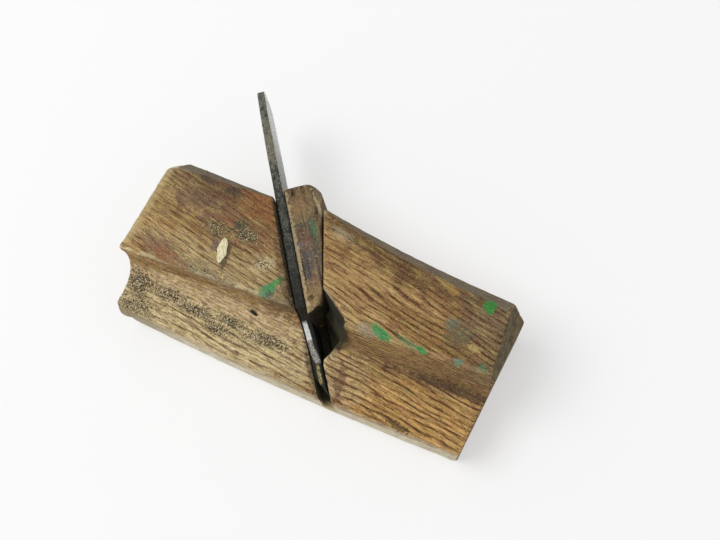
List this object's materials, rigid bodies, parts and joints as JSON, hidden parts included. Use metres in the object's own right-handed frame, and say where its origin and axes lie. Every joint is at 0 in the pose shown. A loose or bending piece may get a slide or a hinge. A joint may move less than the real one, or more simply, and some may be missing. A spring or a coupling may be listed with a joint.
{
  "type": "moulding plane",
  "caption": "Small wooden moulding plane with a rounded sole, side-open throat, tapered iron and wooden wedge",
  "frame": {"origin": "on the flat blind side, at the middle of the body's length and height", "axes": "+X from heel to toe, +Y from sole to top, +Z from the blind side to the open side"},
  "size_m": [0.1561, 0.1102, 0.038],
  "materials": {
    "stock_wood": "worn bare oak with old patina",
    "iron_steel": "dark aged steel, pitted and rusty",
    "wedge_wood": "worn reddish-brown wood"
  },
  "bodies": {
    "stock_body": {"stock": "stock_wood"},
    "iron_body": {"iron": "iron_steel"},
    "wedge_body": {"wedge": "wedge_wood"}
  },
  "joints": [
    {"name": "iron_depth", "type": "slide", "parent": "stock_body", "child": "iron_body", "axis": [-0.6018, 0.7986, 0], "range_m": [-0.001, 0.006]},
    {"name": "wedge_slide", "type": "slide", "parent": "iron_body", "child": "wedge_body", "axis": [-0.6018, 0.7986, 0], "range_m": [0, 0.06]}
  ]
}
